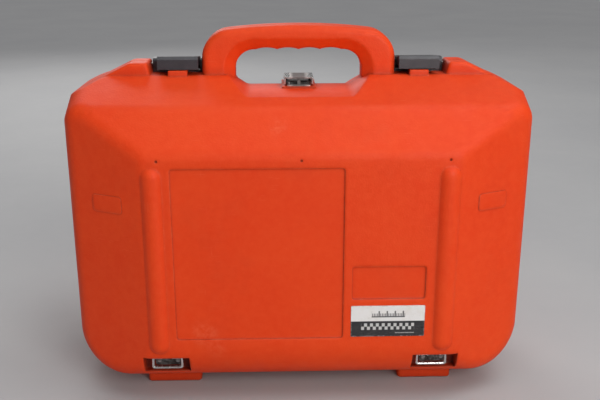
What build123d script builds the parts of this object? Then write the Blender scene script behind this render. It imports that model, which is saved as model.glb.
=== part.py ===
from build123d import *
import math
import os

# Hard plastic carrying case for a surveying instrument, in millimetres.
# +X is to the right, +Y to the rear, +Z up. The origin is on the floor, in the middle of the footprint.
# The case stands upright on its feet. The parting plane between its two halves is y = 0.
# Each half is drawn as the front half, on the -Y side. The rear half is mirrored at the end.

os.makedirs("parts", exist_ok=True)

# ---- driving dimensions -------------------------------------------------------------------------

# shell halves
HALF_WIDTH = 235.0          # at the parting plane
HALF_DEPTH = 110.0          # parting plane to the front or rear panel
BOTTOM_Z = 16.0             # underside of the shell at the parting plane
RIDGE_Z = 318.0             # top of the shell at the parting plane, under the handle
ROOF_Z = 337.5              # where the sloping roof would meet the parting plane
ROOF_DROP = 41.2            # how far the roof falls over the depth of one half
SIDE_DRAFT = 4.5            # how far each side wall leans in over the depth of one half
BOTTOM_DRAFT = 3.0          # the same for the bottom
FRONT_TROUGH_DROP = 6.0     # fall of the trough under the handle, front half
REAR_TROUGH_DROP = 20.5     # and rear half
TROUGH_HALF_WIDTH = 54.0
TROUGH_FLARE = 18.0
TROUGH_R = 14.0
TOP_CORNER_R = 22.0         # between roof and side walls
RIM_CORNER_R = 45.0         # top corners of the rim and its seal
SHOULDER_END_Z = 312.5      # where the sloping shoulder meets the side wall
SHOULDER_SLOPE = math.radians(25.8)
SHOULDER_WALL_R = 14.0
SHOULDER_DECK_R = 40.0
BOTTOM_CORNER_R = 55.0
WALL = 3.5
HALF_GAP = 0.2              # from the parting plane to each rim
PANEL_HALF_WIDTH = 154.0    # flat panel of each half
PANEL_TOP_Z = 268.0
SIDE_SLOPE_RUN = 38.0       # depth that the sloped sides take up
TOP_SLOPE_RUN = 34.0        # depth and height that the sloped top takes up
TOP_SLOPE_RISE = 43.0
EDGE_R = 50.0               # round front edge of the bottom
CREASE_R = 20.0             # soft creases between panel, slopes and walls
INNER_CREASE_R = 14.0       # the same on the inside

# rim and seal
RIM_WIDTH = 9.0
RIM_DEPTH = 9.0
GROOVE_INSET = 3.0
GROOVE_WIDTH = 3.4
GROOVE_FLOOR = 2.4
SEAL_SLACK = 0.2
SEAL_PROUD = 0.1            # the seal ends this far short of the other rim

# top works: latch recesses and the guards beside them
DECK_Z = 330.0              # floor of the latch recesses
STEP_Y = 20.0               # face of the guards and of the handle legs
GUARD_TOP_Z = 342.5
GUARD_EDGE_R = 3.0
RECESS_INNER_X = 98.5
RECESS_OUTER_X = 152.5
GUARD_LEAN = 3.0
GUARD_CROWN_R = 14.0

# handle
HANDLE_TOP_Z = 380.0
HANDLE_SIDE_Z = 372.3
HANDLE_HALF_WIDTH = 99.5
HANDLE_HALF_DEPTH = 18.0
HANDLE_CORNER_R = 30.0
HANDLE_EDGE_R = 7.0
GRIP_HALF_OPENING = 65.5
GRIP_UNDERSIDE_Z = 355.0
GRIP_CORNER_R = 20.0
GRIP_FOOT_R = 8.0
BEVEL_WIDTH = 12.0
BEVEL_DEPTH = 9.0
BEVEL_FOOT_Z = 324.0
GROOVE_PITCH = 22.0
GROOVE_DEPTH = 2.0
GROOVE_COUNT = 4

# feet and rails
FOOT_INNER_X = 108.0
FOOT_OUTER_X = 166.0
FOOT_NEAR_Y = 20.0
FOOT_FAR_Y = 59.0
FOOT_EDGE_R = 3.0
RIB_X = 144.0
RIB_HALF_WIDTH = 10.0
RIB_HEIGHT = 5.0
RIB_LOW_Z = 60.0
RIB_HIGH_Z = 256.0

# front panel details
BIG_RECESS = (-126.5, 42.0, 75.5, 255.0)        # left, right, low, high
SMALL_RECESS = (50.3, 124.6, 118.0, 153.4)
RECESS_DEPTH = 1.2
RECESS_CORNER_R = 3.0
LABEL = (50.0, 125.0, 77.0, 111.0)
LABEL_THICKNESS = 0.4
DIMPLE_X = (-138.0, 0.0, 143.0)
DIMPLE_Z = 262.5
DIMPLE_R = 1.3
DIMPLE_DEPTH = 1.6
PAD_X = 190.0
PAD_Z = 216.0
PAD_WIDTH = 33.0
PAD_HEIGHT = 17.0
PAD_PROUD = 0.8

# strap-ring pockets
POCKET_X = 138.5
POCKET_HALF_WIDTH = 23.5
POCKET_LOW_Z = 33.5
POCKET_HIGH_Z = 54.0
POCKET_BACK_Y = 88.0
RING_AXIS_Y = 98.0
RING_AXIS_Z = 49.8
RING_WIDTH = 33.0
RING_HEIGHT = 14.0
RING_WIRE_R = 1.5
RING_BEND_R = 1.9
RING_SHIFT = {"left": 0.0, "right": -2.5}
EYE_CLEARANCE = 0.1
EYE_WALL = 1.2
EYE_HALF_WIDTH = 5.0
BRACKET_HALF_WIDTH = 13.5
BRACKET_LOW_Z = 37.0
BRACKET_HIGH_Z = 53.0
BRACKET_RIVET_X = 9.5
BRACKET_RIVET_Z = 42.0

# lid hinges
HINGE_Z = 9.0
HINGE_PIN_R = 2.0
KNUCKLE_R = 6.0
PIN_CLEARANCE = 0.05
HINGE_START_X = 30.0
KNUCKLE_LENGTHS = (18.0, 23.2, 18.0)
KNUCKLE_SPACING = 0.4
WEB_FAR_Y = 10.0
WEB_NEAR_Y = 1.0
WEB_LOW_Z = 4.0
HINGE_HEAD_R = 3.4
HINGE_HEAD_LENGTH = 1.6

# latch levers
LEVER_X = 124.0
LEVER_WIDTH = 41.5
LEVER_FRONT_Y = 20.0
LEVER_BOTTOM_Z = 335.8
LEVER_TOP_FRONT_Z = 349.0
LEVER_TOP_REAR_Z = 345.5
LEVER_BEVEL = 3.0
LEVER_THICKNESS = 3.4
LATCH_PIVOT_Y = 13.5
LATCH_PIVOT_Z = 337.2
LATCH_PIN_R = 2.0
LEVER_BARREL_R = 5.6
LATCH_PIN_SEAT = 7.5
LEVER_RIB_WIDTH = 2.4
SEAT_GAP = 0.2              # around the latch seat and beside the lever
SEAT_NEAR_Y = 4.0
SEAT_FAR_Y = 19.4
SEAT_PLATE = 1.2
SEAT_TOP_Z = 344.5
SEAT_R = 4.0
KEEPER_HALF_WIDTH = 9.8
KEEPER_TOP_Z = 335.0
KEEPER_FRONT_Y = 22.5
KEEPER_REAR_Y = 12.0

# centre hasp
BOSS_HALF_WIDTH = 17.5
BOSS_DEPTH = 23.0
BOSS_TOP_Z = 318.4
HASP_PLATE = 1.4
HASP_HALF_WIDTH = 15.0
HASP_CHEEK = 1.6
HASP_PIVOT_Y = 11.0
HASP_PIVOT_Z = 322.8
HASP_PIN_R = 1.3
HASP_BARREL_R = 2.6
HASP_HEADROOM = 0.6         # between the barrel and the plate of the hasp
HASP_REACH_Y = 18.0
HASP_CHEEK_LOW_Z = 320.3
EAR_WIDTH = 2.0
EAR_GAP = 0.4
BASE_NEAR_Y = 5.0
BASE_FAR_Y = 24.0
STAPLE_NEAR_Y = 3.0
STAPLE_FAR_Y = 21.0
STAPLE_LUG_HALF = 1.5
PADLOCK_Y = 13.5
PADLOCK_Z = 322.2
PADLOCK_R = 1.5
STAPLE_LUG_R = 2.7
RIVET_HEAD_R = 2.2
RIVET_HEAD_HEIGHT = 0.9
RIVET_SHANK_R = 1.4
RIVET_GRIP = 4.0

# foam
FOAM_INSET = 5.0
FOAM_ROOF_DROP = 12.5
FOAM_NEAR_Y = 11.0
FOAM_FAR_Y = 103.0
CRADLE_FLOOR_Y = 84.0
LID_FLOOR_Y = 74.0
CAVITY_R = 14.0

SIDE_SLOPE = math.atan2(SIDE_SLOPE_RUN, HALF_WIDTH - PANEL_HALF_WIDTH)
TOP_SLOPE = math.atan2(TOP_SLOPE_RISE, TOP_SLOPE_RUN)
FAR = 60.0                  # how far cutting tools run past the case


# ---- helpers ------------------------------------------------------------------------------------

def box(x0, x1, y0, y1, z0, z1):
    """Box between two corners."""
    size = (abs(x1 - x0), abs(y1 - y0), abs(z1 - z0))
    return Pos((x0 + x1) / 2, (y0 + y1) / 2, (z0 + z1) / 2) * Box(*size)


def x_cylinder(radius, x0, x1, y, z):
    """Cylinder along X between x0 and x1."""
    return Pos((x0 + x1) / 2, y, z) * Rot(0, 90, 0) * Cylinder(radius, abs(x1 - x0))


def front_face(points, y):
    """Flat face in the XZ plane at the given y."""
    return Plane.XZ.offset(-y) * make_face(Polyline(*points, close=True))


def side_face(points, x):
    """Flat face in the YZ plane at the given x."""
    return Plane.YZ.offset(x) * make_face(Polyline(*points, close=True))


def both_sides(solid):
    """The solid and its mirror image on the other side of the case."""
    return solid + mirror(solid, about=Plane.YZ)


def to_rear(solid):
    """Turn a front-half solid into its rear-half twin."""
    return mirror(solid, about=Plane.XZ)


def facing(normal):
    """Which flat of a half a normal belongs to."""
    if abs(normal.X) > 0.9:
        return "wall"
    if normal.Z > 0.8:
        return "roof"
    if normal.Z > 0.4:
        return "top slope"
    if abs(normal.X) > 0.3 and abs(normal.Z) < 0.1:
        return "side slope"
    return "panel" if normal.Y < -0.99 else "round"


def creases(solid, flats=None, y_limit=-1.0, smallest=6.0):
    """Edges in front of y_limit where two faces meet at more than the smallest angle."""
    found = []
    for edge in solid.edges().filter_by(lambda e: e.center().Y < y_limit):
        faces = [f for f in solid.faces() if any(edge.is_same(other) for other in f.edges())]
        if len(faces) == 2:
            normals = [f.normal_at(edge.position_at(0.5)) for f in faces]
            wanted = flats is None or {facing(n) for n in normals} in flats
            if wanted and normals[0].get_angle(normals[1]) > smallest:
                found.append(edge)
    return found


# ---- shell forms --------------------------------------------------------------------------------

def drafted_block(roof_z, roof_drop, inset):
    """Block of one half with drafted walls and rounded long edges."""
    depth = HALF_DEPTH - inset
    share = depth / HALF_DEPTH
    low = BOTTOM_Z + inset
    high = roof_z - inset
    half = HALF_WIDTH - inset
    lean = SIDE_DRAFT * share
    profile = [(0, low), (-depth, low + BOTTOM_DRAFT * share), (-depth, high - roof_drop * share), (0, high)]
    plan = [(-half, 0), (half, 0), (half - lean, -depth), (lean - half, -depth)]
    block = extrude(side_face(profile, 0), HALF_WIDTH, both=True)
    block = block & extrude(Plane.XY * make_face(Polyline(*plan, close=True)), HANDLE_TOP_Z)
    long_edges = block.edges().filter_by(lambda e: abs(e.center().X) > HALF_WIDTH - 2 * SIDE_DRAFT - inset
                                         and abs(e.center().Y + depth / 2) < 5 and e.center().Z < HALF_WIDTH)
    return fillet(long_edges, BOTTOM_CORNER_R - inset)


def slope_cutters(inset, depth):
    """Solids that cut the sloped sides and the sloped top off a half."""
    run = HALF_WIDTH - PANEL_HALF_WIDTH + FAR
    start = PANEL_HALF_WIDTH - inset * math.tan(SIDE_SLOPE / 2)
    plan = [(start, -depth), (start + run, -depth + run * math.tan(SIDE_SLOPE)),
            (start + run, -depth - FAR), (start, -depth - FAR)]
    side = extrude(Plane.XY.offset(-FAR) * make_face(Polyline(*plan, close=True)), HANDLE_TOP_Z + FAR)
    lift = TOP_SLOPE_RUN + FAR
    crest = PANEL_TOP_Z - inset * math.tan(TOP_SLOPE / 2)
    profile = [(-depth, crest), (-depth + lift, crest + lift * math.tan(TOP_SLOPE)),
               (-depth - FAR, crest + lift * math.tan(TOP_SLOPE)), (-depth - FAR, crest)]
    top = extrude(side_face(profile, 0), HALF_WIDTH + FAR, both=True)
    return both_sides(side) + top


CREASE_ORDER = ([{"roof", "top slope"}], [{"wall", "side slope"}], [{"side slope", "top slope"}],
                [{"panel", "side slope"}, {"panel", "top slope"}], None)


def half_form(roof_z, roof_drop, inset):
    """Closed form of one half, or the form that lies inset inside it."""
    depth = HALF_DEPTH - inset
    block = drafted_block(roof_z, roof_drop, inset)
    rim = block.edges().filter_by(lambda e: e.center().Y < 1 - depth and e.center().Z < BOTTOM_Z + EDGE_R / 2)
    block = fillet(rim, EDGE_R - inset)
    block = block - slope_cutters(inset, depth)
    block = fillet(creases(block, [{"wall", "roof"}]), TOP_CORNER_R - inset)
    radius = INNER_CREASE_R if inset else CREASE_R
    for flats in CREASE_ORDER:
        edges = creases(block, flats)
        block = fillet(edges, radius) if edges else block
    return block


def rim_outline(inset, y):
    """Rounded outline of the rim at the parting plane, set in by the given amount."""
    half = HALF_WIDTH - inset
    low = BOTTOM_Z + inset
    high = RIDGE_Z - inset
    face = front_face([(-half, low), (half, low), (half, high), (-half, high)], y)
    face = fillet(face.vertices().sort_by(Axis.Z)[:2], BOTTOM_CORNER_R - inset)
    return fillet(face.vertices().sort_by(Axis.Z)[-2:], RIM_CORNER_R - inset)


def shoulder_x(z):
    """Where the sloping shoulder reaches the given height."""
    return HALF_WIDTH - (z - SHOULDER_END_Z) / math.tan(SHOULDER_SLOPE)


def deck_limit(inset):
    """Prism that levels the top off at the latch recesses and slopes it down to the side walls."""
    half = HALF_WIDTH - inset
    low = BOTTOM_Z + inset
    high = DECK_Z - inset
    wall_z = SHOULDER_END_Z - inset * math.tan((math.pi / 2 - SHOULDER_SLOPE) / 2)
    deck_x = shoulder_x(DECK_Z) - inset * math.tan(SHOULDER_SLOPE / 2)
    face = front_face([(-half, low), (half, low), (half, wall_z), (deck_x, high), (-deck_x, high), (-half, wall_z)], 0)
    corners = face.vertices().sort_by(Axis.Z)
    face = fillet(corners[:2], BOTTOM_CORNER_R - inset)
    face = fillet(face.vertices().filter_by(lambda v: abs(v.Z - wall_z) < 0.1), SHOULDER_WALL_R - inset)
    face = fillet(face.vertices().sort_by(Axis.Z)[-2:], SHOULDER_DECK_R)
    return extrude(face, HALF_DEPTH)


def rim_ring(inner_inset, outer_inset, y_from, y_to):
    """Closed ring that follows the rim between two insets."""
    ring = rim_outline(outer_inset, y_from) - rim_outline(inner_inset, y_from)
    return extrude(ring, y_from - y_to)


# ---- top works ----------------------------------------------------------------------------------

def trough(trough_drop, grow):
    """Cutter for the trough under the handle, with a floor that falls away from the parting plane."""
    floor = RIDGE_Z - grow
    half = TROUGH_HALF_WIDTH + grow
    rise = DECK_Z + 2 * FAR - floor
    flare = TROUGH_FLARE * rise / (DECK_Z - RIDGE_Z)
    face = front_face([(-half, floor), (half, floor), (half + flare, floor + rise), (-half - flare, floor + rise)], FAR)
    face = fillet(face.vertices().sort_by(Axis.Z)[:2], TROUGH_R)
    tilt = math.degrees(math.atan2(trough_drop, HALF_DEPTH))
    return Pos(0, 0, RIDGE_Z) * Rot(tilt, 0, 0) * Pos(0, 0, -RIDGE_Z) * extrude(face, 2 * HALF_DEPTH)


def guard():
    """Guard outside one latch recess, seen from the front as a flat top that runs down the shoulder."""
    foot = DECK_Z - WALL
    inner = RECESS_OUTER_X + GUARD_LEAN
    points = [(RECESS_OUTER_X, foot), (RECESS_OUTER_X, DECK_Z), (inner, GUARD_TOP_Z),
              (shoulder_x(GUARD_TOP_Z), GUARD_TOP_Z), (shoulder_x(foot), foot)]
    face = front_face(points, 0)
    crown = face.vertices().filter_by(lambda v: v.Z > GUARD_TOP_Z - 0.1).sort_by(Axis.X)
    face = fillet(crown[-1:], GUARD_CROWN_R)
    face = fillet(face.vertices().filter_by(lambda v: abs(v.X - inner) < 0.1), GUARD_EDGE_R)
    block = extrude(face, STEP_Y)
    front = block.edges().filter_by(lambda e: abs(e.center().Y + STEP_Y) < 0.1 and e.center().Z > DECK_Z - 1)
    return fillet(front, GUARD_EDGE_R)


def handle_outline(y):
    """Outer outline of the handle, with a crowned top."""
    side = HANDLE_HALF_WIDTH
    foot = RIDGE_Z - 12
    crown = ThreePointArc((-side, HANDLE_SIDE_Z), (0, HANDLE_TOP_Z), (side, HANDLE_SIDE_Z))
    legs = Polyline((side, HANDLE_SIDE_Z), (side, foot), (-side, foot), (-side, HANDLE_SIDE_Z))
    face = Plane.XZ.offset(-y) * make_face([crown, legs])
    return fillet(face.vertices().sort_by(Axis.Z)[-2:], HANDLE_CORNER_R)


def grip_opening(y):
    """Outline of the hand opening."""
    side = GRIP_HALF_OPENING
    face = front_face([(-side, RIDGE_Z), (side, RIDGE_Z), (side, GRIP_UNDERSIDE_Z), (-side, GRIP_UNDERSIDE_Z)], y)
    face = fillet(face.vertices().sort_by(Axis.Z)[-2:], GRIP_CORNER_R)
    return fillet(face.vertices().sort_by(Axis.Z)[:2], GRIP_FOOT_R)


def finger_grooves():
    """Shallow hollows in the underside of the grip."""
    radius = ((GROOVE_PITCH / 2) ** 2 + GROOVE_DEPTH ** 2) / (2 * GROOVE_DEPTH)
    middle_z = GRIP_UNDERSIDE_Z + GROOVE_DEPTH - radius
    grooves = Part()
    for index in range(GROOVE_COUNT):
        x = (index - (GROOVE_COUNT - 1) / 2) * GROOVE_PITCH
        grooves += Pos(x, 0, middle_z) * Rot(90, 0, 0) * Cylinder(radius, 4 * HANDLE_HALF_DEPTH)
    return grooves & box(-GRIP_HALF_OPENING, GRIP_HALF_OPENING, -FAR, FAR, GRIP_UNDERSIDE_Z - 6, HANDLE_TOP_Z)


def handle_half():
    """Front half of the handle: a bar on two legs."""
    body = extrude(handle_outline(0), HANDLE_HALF_DEPTH)
    rounded = body.edges().filter_by(lambda e: abs(e.center().Y + HANDLE_HALF_DEPTH) < 0.1
                                     and e.center().Z > RIDGE_Z - 6)
    body = fillet(rounded, HANDLE_EDGE_R)
    body -= extrude(grip_opening(FAR), 2 * FAR)
    flare = extrude(grip_opening(-HANDLE_HALF_DEPTH + BEVEL_DEPTH), BEVEL_DEPTH + 1,
                    taper=-math.degrees(math.atan2(BEVEL_WIDTH, BEVEL_DEPTH)))
    body -= flare & box(-FAR * 2, FAR * 2, -FAR, FAR, BEVEL_FOOT_Z, HANDLE_TOP_Z)
    body -= finger_grooves()
    return body - box(-GRIP_HALF_OPENING, GRIP_HALF_OPENING, -FAR, FAR, 0, RIDGE_Z + 1)


def keeper_tab():
    """Tab on the lid that the latch lever closes over."""
    x0 = LEVER_X - KEEPER_HALF_WIDTH
    tab = box(x0, LEVER_X + KEEPER_HALF_WIDTH, -KEEPER_FRONT_Y, -KEEPER_REAR_Y, DECK_Z - 3, KEEPER_TOP_Z)
    edges = tab.edges().filter_by(lambda e: e.center().Z > KEEPER_TOP_Z - 0.1)
    return fillet(edges, 1.0)


def foot():
    """One moulded foot of the front half."""
    block = box(FOOT_INNER_X, FOOT_OUTER_X, -FOOT_FAR_Y, -FOOT_NEAR_Y, 0, BOTTOM_Z + 6)
    block = fillet(block.edges().filter_by(Axis.Z), FOOT_EDGE_R + 1)
    return chamfer(block.edges().sort_by(Axis.Z)[:8], 1.2)


def rib():
    """Half-round rail on the panel, domed at its ends."""
    radius = (RIB_HALF_WIDTH ** 2 + RIB_HEIGHT ** 2) / (2 * RIB_HEIGHT)
    y = -HALF_DEPTH - RIB_HEIGHT + radius
    low = RIB_LOW_Z + RIB_HALF_WIDTH
    high = RIB_HIGH_Z - RIB_HALF_WIDTH
    shaft = Pos(RIB_X, y, (low + high) / 2) * Cylinder(radius, high - low)
    rail = shaft + Pos(RIB_X, y, low) * Sphere(radius) + Pos(RIB_X, y, high) * Sphere(radius)
    return rail & box(RIB_X - FAR, RIB_X + FAR, -HALF_DEPTH - FAR, -HALF_DEPTH + 3, 0, HANDLE_TOP_Z)


def knuckle(x0, x1):
    """Hinge knuckle of the front half with its web, before the pin bore."""
    barrel = x_cylinder(KNUCKLE_R, x0, x1, 0, HINGE_Z)
    web = box(x0, x1, -WEB_FAR_Y, -WEB_NEAR_Y, WEB_LOW_Z, BOTTOM_Z + 2)
    return barrel + web


def knuckle_spans():
    """X ranges of the three knuckles of the right hinge, from the middle outwards."""
    spans = []
    x = HINGE_START_X
    for length in KNUCKLE_LENGTHS:
        spans.append((x, x + length))
        x += length + KNUCKLE_SPACING
    return spans


def hinge_bore():
    """Bore for the pin through all knuckles of the right hinge."""
    spans = knuckle_spans()
    return x_cylinder(HINGE_PIN_R + PIN_CLEARANCE, spans[0][0] - 1, spans[-1][1] + 1, 0, HINGE_Z)


def hollow(trough_drop):
    """Inside of one half: the full hollow behind the rim, and the mouth through the rim."""
    inner = half_form(ROOF_Z, ROOF_DROP, WALL) & deck_limit(WALL)
    inner &= box(-HALF_WIDTH, HALF_WIDTH, -HALF_DEPTH, -RIM_DEPTH, 0, ROOF_Z)
    inner -= trough(trough_drop, WALL)
    inner -= box(-HANDLE_HALF_WIDTH, HANDLE_HALF_WIDTH, -HANDLE_HALF_DEPTH - WALL, 0, RIDGE_Z - WALL, ROOF_Z)
    mouth = extrude(rim_outline(RIM_WIDTH, 1), RIM_DEPTH + 2)
    return inner + mouth


def half_shell(trough_drop):
    """Features that both halves share, drawn as the front half."""
    body = (half_form(ROOF_Z, ROOF_DROP, 0) & deck_limit(0)) - trough(trough_drop, 0)
    shell = body + both_sides(guard()) + handle_half()
    shell += both_sides(foot()) + both_sides(rib())
    shell += box(-BOSS_HALF_WIDTH, BOSS_HALF_WIDTH, -BOSS_DEPTH, 0, RIDGE_Z - 8, BOSS_TOP_Z)
    return shell - hollow(trough_drop)


def clear_parting(shell):
    """Trim a front half back from the parting plane."""
    return shell & box(-HALF_WIDTH, HALF_WIDTH, -HALF_DEPTH - FAR, -HALF_GAP, 0, HANDLE_TOP_Z)


# ---- shells -------------------------------------------------------------------------------------

def panel_cut(rectangle, depth):
    """Shallow recess with rounded corners in the front panel."""
    left, right, low, high = rectangle
    cut = box(left, right, -HALF_DEPTH - 1, -HALF_DEPTH + depth, low, high)
    return fillet(cut.edges().filter_by(Axis.Y), RECESS_CORNER_R)


def slope_pad():
    """Slightly raised rectangle on the right side slope."""
    lift = (PAD_X - PANEL_HALF_WIDTH) * math.tan(SIDE_SLOPE)
    place = Pos(PAD_X, -HALF_DEPTH + lift, PAD_Z) * Rot(0, 0, math.degrees(SIDE_SLOPE))
    pad = Box(PAD_WIDTH, 2 * PAD_PROUD, PAD_HEIGHT)
    pad = fillet(pad.edges().filter_by(Axis.Y), RECESS_CORNER_R)
    return place * pad


def pocket(grow):
    """Strap-ring pocket on the right, or the block that its walls fill."""
    return box(POCKET_X - POCKET_HALF_WIDTH - grow, POCKET_X + POCKET_HALF_WIDTH + grow,
               -HALF_DEPTH - 1 + grow, -POCKET_BACK_Y + grow, POCKET_LOW_Z - grow, POCKET_HIGH_Z + grow)


def rivet(x, y, z, way):
    """Rivet whose domed head sits at the given point, facing the front or up."""
    dome = Pos(0, 0, -0.6) * Sphere(RIVET_HEAD_R * 1.1)
    head = dome & Pos(0, 0, RIVET_HEAD_HEIGHT / 2) * Box(6, 6, RIVET_HEAD_HEIGHT)
    shank = Pos(0, 0, -RIVET_GRIP / 2) * Cylinder(RIVET_SHANK_R, RIVET_GRIP)
    turn = Rot(90, 0, 0) if way == "front" else Rot(0, 0, 0)
    return Pos(x, y, z) * turn * (head + shank)


def rivet_holes(places, way):
    """Holes for the shanks of rivets."""
    holes = Part()
    for x, y, z in places:
        turn = Rot(90, 0, 0) if way == "front" else Rot(0, 0, 0)
        holes += Pos(x, y, z) * turn * Pos(0, 0, -RIVET_GRIP / 2) * Cylinder(RIVET_SHANK_R, RIVET_GRIP + 1)
    return holes


BRACKET_RIVETS = [(side * POCKET_X + offset, -POCKET_BACK_Y - EYE_WALL, BRACKET_RIVET_Z)
                  for side in (-1, 1) for offset in (-BRACKET_RIVET_X, BRACKET_RIVET_X)]
STAPLE_RIVETS = [(side * (HASP_HALF_WIDTH - HASP_CHEEK - RIVET_HEAD_R - 1), -(STAPLE_NEAR_Y + 4),
                  BOSS_TOP_Z + HASP_PLATE) for side in (-1, 1)]
CLASP_RIVETS = [(side * (HASP_HALF_WIDTH - 6), BASE_FAR_Y - 4, BOSS_TOP_Z + HASP_PLATE) for side in (-1, 1)]


def front_shell():
    """Lid half of the case with its panel details, pockets, keeper tabs and middle knuckles."""
    shell = half_shell(FRONT_TROUGH_DROP)
    shell += both_sides(pocket(WALL)) & half_form(ROOF_Z, ROOF_DROP, 0)
    shell -= both_sides(pocket(0))
    shell -= panel_cut(BIG_RECESS, RECESS_DEPTH)
    shell -= panel_cut(SMALL_RECESS, RECESS_DEPTH)
    shell += both_sides(slope_pad())
    shell += both_sides(keeper_tab())
    for x in DIMPLE_X:
        shell -= Pos(x, -HALF_DEPTH, DIMPLE_Z) * Rot(90, 0, 0) * Cylinder(DIMPLE_R, 2 * DIMPLE_DEPTH)
    shell = clear_parting(shell)
    middle = knuckle_spans()[1]
    shell += both_sides(knuckle(*middle))
    shell -= both_sides(hinge_bore())
    shell -= rivet_holes(BRACKET_RIVETS, "front")
    shell -= rivet_holes(STAPLE_RIVETS, "up")
    return shell


def rear_shell():
    """Standing half of the case with the latch pin seats, the seal groove and the outer knuckles."""
    shell = clear_parting(half_shell(REAR_TROUGH_DROP))
    shell -= rim_ring(GROOVE_INSET + GROOVE_WIDTH, GROOVE_INSET, 0, -GROOVE_FLOOR)
    spans = knuckle_spans()
    for x0, x1 in (spans[0], spans[2]):
        shell += both_sides(knuckle(x0, x1))
    shell -= both_sides(hinge_bore())
    shell = to_rear(shell)
    shell -= both_sides(x_cylinder(LATCH_PIN_R + PIN_CLEARANCE, RECESS_INNER_X - LATCH_PIN_SEAT - 0.5,
                                   RECESS_OUTER_X + LATCH_PIN_SEAT + 3.5, LATCH_PIVOT_Y, LATCH_PIVOT_Z))
    shell -= rivet_holes(CLASP_RIVETS, "up")
    return shell


# ---- seal, foam and hinge pins ------------------------------------------------------------------

def rim_seal():
    """Rubber cord in the groove of the rear rim."""
    near = GROOVE_INSET + SEAL_SLACK
    return rim_ring(GROOVE_INSET + GROOVE_WIDTH - SEAL_SLACK, near, -(HALF_GAP - SEAL_PROUD), GROOVE_FLOOR)


def instrument_form(deep_y):
    """Space for the instrument lying on its side, from the parting plane to deep_y."""
    turntable = x_cylinder(72, -188, -128, 0, 158)
    body = box(-140, 92, -deep_y, deep_y, 72, 244)
    body = fillet(body.edges().filter_by(Axis.Y), CAVITY_R)
    telescope = box(-70, 30, -deep_y, deep_y, 50, 266)
    telescope = fillet(telescope.edges().filter_by(Axis.Y), CAVITY_R)
    grip = box(80, 128, -deep_y + 30, deep_y - 30, 108, 208)
    return turntable + body + telescope + grip


def accessory_pockets(deep_y):
    """Pockets for the battery, the charger and small tools beside the instrument."""
    charger = box(146, 206, -deep_y, deep_y, 150, 262)
    charger = fillet(charger.edges().filter_by(Axis.Y), CAVITY_R / 2)
    battery = box(146, 206, -deep_y, deep_y, 66, 132)
    battery = fillet(battery.edges().filter_by(Axis.Y), CAVITY_R / 2)
    return charger + battery


def foam_block(trough_drop):
    """Foam that fills one half behind the rim, before its pockets are cut."""
    inner = half_form(RIDGE_Z, FOAM_ROOF_DROP, FOAM_INSET) - trough(trough_drop, FOAM_INSET)
    return inner & box(-HALF_WIDTH, HALF_WIDTH, -FOAM_FAR_Y, -FOAM_NEAR_Y, 0, RIDGE_Z)


def foam_cradle():
    """Foam of the rear half with the cavity for the instrument and its accessories."""
    block = to_rear(foam_block(REAR_TROUGH_DROP))
    block -= instrument_form(CRADLE_FLOOR_Y)
    return block - accessory_pockets(CRADLE_FLOOR_Y - 24)


def lid_foam():
    """Foam of the lid with the shallower half of the instrument cavity."""
    block = foam_block(FRONT_TROUGH_DROP)
    block -= both_sides(pocket(WALL + 1.5))
    return block - instrument_form(LID_FLOOR_Y)


def hinge_pin(side):
    """Steel pin of one lid hinge, with a head on its outer end."""
    spans = knuckle_spans()
    start, end = spans[0][0], spans[-1][1]
    pin = x_cylinder(HINGE_PIN_R, start - 0.6, end + 0.3, 0, HINGE_Z)
    pin += x_cylinder(HINGE_HEAD_R, end + 0.3, end + 0.3 + HINGE_HEAD_LENGTH, 0, HINGE_Z)
    pin = chamfer(pin.edges().sort_by(Axis.X)[0], 0.4)
    return pin if side > 0 else mirror(pin, about=Plane.YZ)


# ---- latches ------------------------------------------------------------------------------------

def latch_lever(side):
    """Plastic lever that snaps over the keeper tab of the lid."""
    x0 = LEVER_X - LEVER_WIDTH / 2
    slope = (LEVER_TOP_FRONT_Z - LEVER_TOP_REAR_Z) / (LEVER_FRONT_Y + LATCH_PIVOT_Y)
    thick = LEVER_THICKNESS
    under_z = LEVER_TOP_FRONT_Z - thick - slope * thick
    profile = [(-LEVER_FRONT_Y, LEVER_BOTTOM_Z), (-LEVER_FRONT_Y, LEVER_TOP_FRONT_Z - LEVER_BEVEL),
               (-LEVER_FRONT_Y + LEVER_BEVEL, LEVER_TOP_FRONT_Z), (LATCH_PIVOT_Y + 2.5, LEVER_TOP_REAR_Z - 0.4),
               (LATCH_PIVOT_Y + 2.5, LATCH_PIVOT_Z), (LATCH_PIVOT_Y - 3, LATCH_PIVOT_Z),
               (LATCH_PIVOT_Y - 6, under_z - slope * 22), (-LEVER_FRONT_Y + thick, under_z),
               (-LEVER_FRONT_Y + thick, LEVER_BOTTOM_Z)]
    body = extrude(side_face(profile, x0), LEVER_WIDTH)
    body += x_cylinder(LEVER_BARREL_R, x0, x0 + LEVER_WIDTH, LATCH_PIVOT_Y, LATCH_PIVOT_Z)
    gusset = [(-LEVER_FRONT_Y + 1, LEVER_BOTTOM_Z + 3), (-LEVER_FRONT_Y + 1, LEVER_TOP_FRONT_Z - 4),
              (LATCH_PIVOT_Y, LEVER_TOP_REAR_Z - 2), (LATCH_PIVOT_Y, LATCH_PIVOT_Z)]
    for index in range(3):
        x = x0 + index * (LEVER_WIDTH - LEVER_RIB_WIDTH) / 2
        body += extrude(side_face(gusset, x), LEVER_RIB_WIDTH)
    body -= x_cylinder(LATCH_PIN_R + PIN_CLEARANCE, x0 - 1, x0 + LEVER_WIDTH + 1, LATCH_PIVOT_Y, LATCH_PIVOT_Z)
    return body if side > 0 else mirror(body, about=Plane.YZ)


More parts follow.
